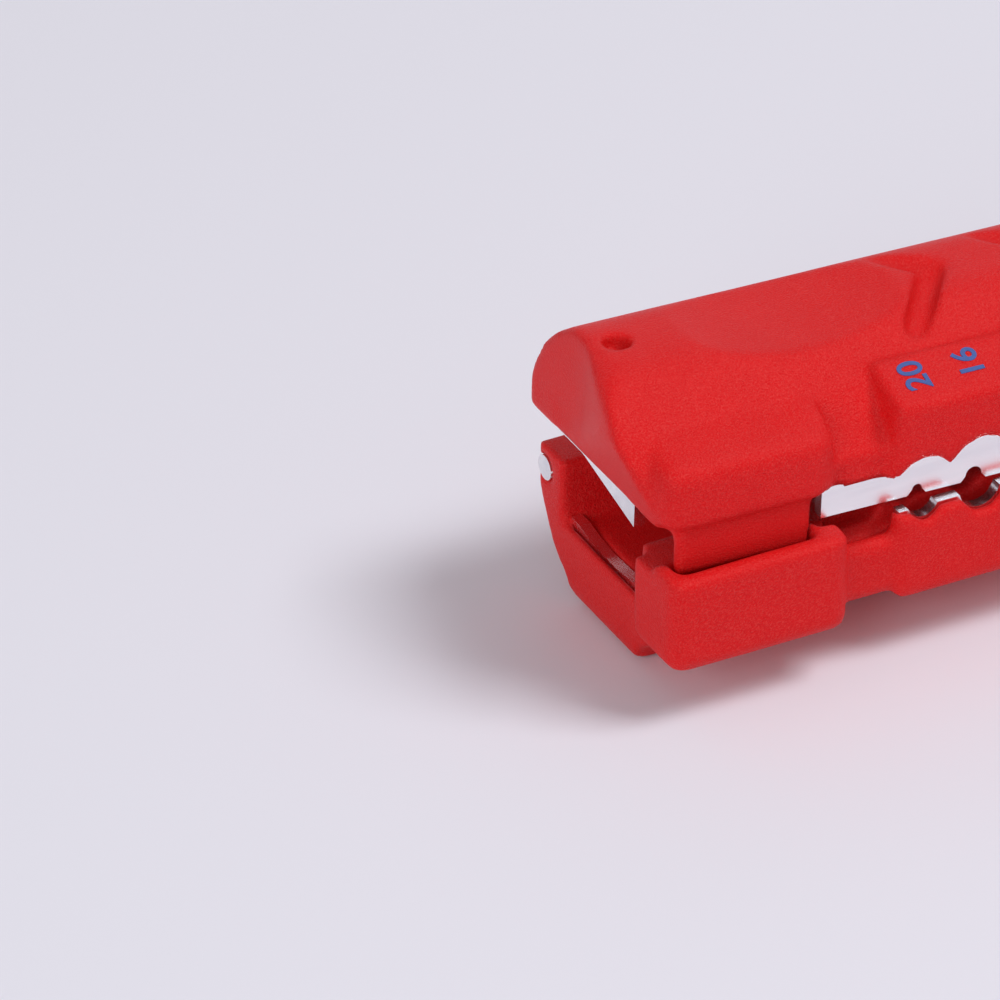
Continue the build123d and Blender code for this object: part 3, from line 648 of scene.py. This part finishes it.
def slimPin(points, look):
    # the pin tapers to its hidden end, and its front is set back
    low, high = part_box("cheek_pin")
    behind = points[:, 0] > low[0] + look["pinFront"] * mm
    for axis in (1, 2):
        middle = (low[axis] + high[axis]) / 2
        slim = middle + look["pinShare"] * (points[:, axis] - middle)
        points[:, axis] = np.where(behind, slim, points[:, axis])
    points[:, 0] = np.where(behind, points[:, 0], points[:, 0] + look["pinBack"] * mm)
    return points


def makeFitted(name, body, shape=None, cuts=()):
    piece = addPiece(name + "_fitted", mergedCopy(name))
    if cuts:
        cutAway(piece, cuts)
    if shape:
        points = np.empty(len(piece.data.vertices) * 3)
        piece.data.vertices.foreach_get("co", points)
        points = shape(points.reshape(-1, 3), fitLook)
        piece.data.vertices.foreach_set("co", points.ravel())
    piece.data.materials.clear()
    piece.data.materials.append(finishOf[name])
    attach(piece, body)
    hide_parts(name)


waistCorner = boxMesh("waistCorner", fitLook["waistCorner"])
makeFitted("upper_wire_blade", "upper", cuts=[waistCorner])
makeFitted("lower_jacket_blade", "lower", lowerMouthBlade)
makeFitted("upper_jacket_blade", "upper", slantMouthBlade)
makeFitted("upper_wire_blade_screws", "upper", shortenScrews)
makeFitted("cheek_pin", "lower", slimPin)
print("steel fitted")


# Printed wire sizes beside the notches, on the sloping deck of the stripping section
numberLook = {
    "words": ["20", "16", "12"],
    "places": [23.65, 28.7, 35.5],      # from the nose, one for each notch
    "middle": -10.4,
    "deckOuter": (-13.3, 6.5),          # near edge of the deck
    "deckInner": (-8.3, 8.3),
    "size": 3.1 * mm,
    "heavier": 0.05 * mm,
    "thick": 0.03 * mm,
    "lift": 0.03 * mm,
    "curveSteps": 6,
    "colour": (0.030, 0.075, 0.27),
    "paler": 1.35,
    "wearScale": 2600.0,
    "wearDetail": 3.0,
    "wearRoughness": 0.6,
    "wearStops": (0.3, 0.8),
    "rough": 0.5,
}


def makeInk(look):
    material, tree, shader = newMaterial("printedBlue")
    wear = addNoise(tree, look["wearScale"], look["wearDetail"], look["wearRoughness"])
    pale = tuple(share * look["paler"] for share in look["colour"])
    colour = addRamp(tree, wear, look["wearStops"], [look["colour"], pale])
    tree.links.new(colour, shader.inputs["Base Color"])
    shader.inputs["Roughness"].default_value = look["rough"]
    return material


def textMesh(word, look):
    text = bpy.data.curves.new("wireSize" + word, "FONT")
    text.body = word
    text.size = look["size"]
    text.align_x, text.align_y = "CENTER", "CENTER"
    text.extrude = look["thick"]
    text.offset = look["heavier"]
    text.resolution_u = look["curveSteps"]
    holder = addPiece("textHolder", text)
    bpy.context.view_layer.update()
    graph = bpy.context.evaluated_depsgraph_get()
    mesh = bpy.data.meshes.new_from_object(holder.evaluated_get(graph))
    bpy.data.objects.remove(holder)
    return mesh


def makeNumbers(look):
    # the text runs up the deck's slope, and its tops face the nose
    outer, inner = look["deckOuter"], look["deckInner"]
    slope = (inner[1] - outer[1]) / (inner[0] - outer[0])
    height = outer[1] + slope * (look["middle"] - outer[0])
    runs = Vector((0, 1, slope)).normalized()
    tops = Vector((-1, 0, 0))
    normal = runs.cross(tops).normalized()
    openTurn = Matrix.Translation(hingeAt) @ restTurn @ Matrix.Translation(-hingeAt)
    ink = makeInk(look)
    for word, place in zip(look["words"], look["places"]):
        seat = Matrix((runs, tops, normal)).transposed().to_4x4()
        seat.translation = atTool(place, look["middle"], height) + normal * look["lift"]
        mesh = textMesh(word, look)
        mesh.transform(openTurn @ seat)
        mesh.materials.clear()
        mesh.materials.append(ink)
        piece = addPiece("wire_size_" + word, mesh)
        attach(piece, "upper")
    print("numbers printed:", ", ".join(look["words"]))


makeNumbers(numberLook)


# Floor, world and lamps
stageLook = {
    "floor": (0.80, 0.785, 0.87),
    "floorRough": 0.9,
    "floorSize": 3.0,
    "worldStrength": 0.32,
    "backdrop": (0.738, 0.723, 0.799),
}
# places and sizes in metres, power in watts
lampLook = {
    "keyLamp": {"place": (0.40, -0.32, 0.90), "size": 0.42, "power": 6.2},
    "fillLamp": {"place": (-0.85, -0.5, 0.40), "size": 0.6, "power": 4.2},
    "rimLamp": {"place": (0.3, 0.7, 0.5), "size": 0.5, "power": 0.3},
}
lampAim = (0, 0, 0.012)


def makeFloor(look):
    size = look["floorSize"] / 2
    mesh = bpy.data.meshes.new("floor")
    corners = [(-size, -size, 0), (size, -size, 0), (size, size, 0), (-size, size, 0)]
    mesh.from_pydata(corners, [], [(0, 1, 2, 3)])
    floor = addPiece("floor", mesh)
    material, tree, shader = newMaterial("floorPale")
    shader.inputs["Base Color"].default_value = (*look["floor"], 1)
    shader.inputs["Roughness"].default_value = look["floorRough"]
    mesh.materials.append(material)


def makeWorld(look):
    # camera and glossy rays see the backdrop's colour, the rest the studio's light
    world = bpy.data.worlds.new("studio")
    world.use_nodes = True
    bpy.context.scene.world = world
    tree = world.node_tree
    studio = tree.nodes["Background"]
    studio.inputs["Color"].default_value = (1, 1, 1, 1)
    studio.inputs["Strength"].default_value = look["worldStrength"]
    backdrop = addNode(tree, "ShaderNodeBackground", Color=(*look["backdrop"], 1), Strength=1.0)
    rays = tree.nodes.new("ShaderNodeLightPath")
    either = addNode(tree, "ShaderNodeMath", operation="MAXIMUM")
    tree.links.new(rays.outputs["Is Camera Ray"], either.inputs[0])
    tree.links.new(rays.outputs["Is Glossy Ray"], either.inputs[1])
    mix = tree.nodes.new("ShaderNodeMixShader")
    tree.links.new(either.outputs[0], mix.inputs["Fac"])
    tree.links.new(studio.outputs["Background"], mix.inputs[1])
    tree.links.new(backdrop.outputs["Background"], mix.inputs[2])
    tree.links.new(mix.outputs["Shader"], tree.nodes["World Output"].inputs["Surface"])


def makeLamps(lamps):
    for name, look in lamps.items():
        data = bpy.data.lights.new(name, "AREA")
        data.energy = look["power"]
        data.size = look["size"]
        lamp = addPiece(name, data)
        lamp.location = look["place"]
        lamp.rotation_mode = "QUATERNION"
        lamp.rotation_quaternion = (Vector(lampAim) - Vector(look["place"])).to_track_quat("-Z", "Y")


makeFloor(stageLook)
makeWorld(stageLook)
makeLamps(lampLook)
bpy.context.scene.view_settings.view_transform = "Standard"
print("stage and lamps ready")
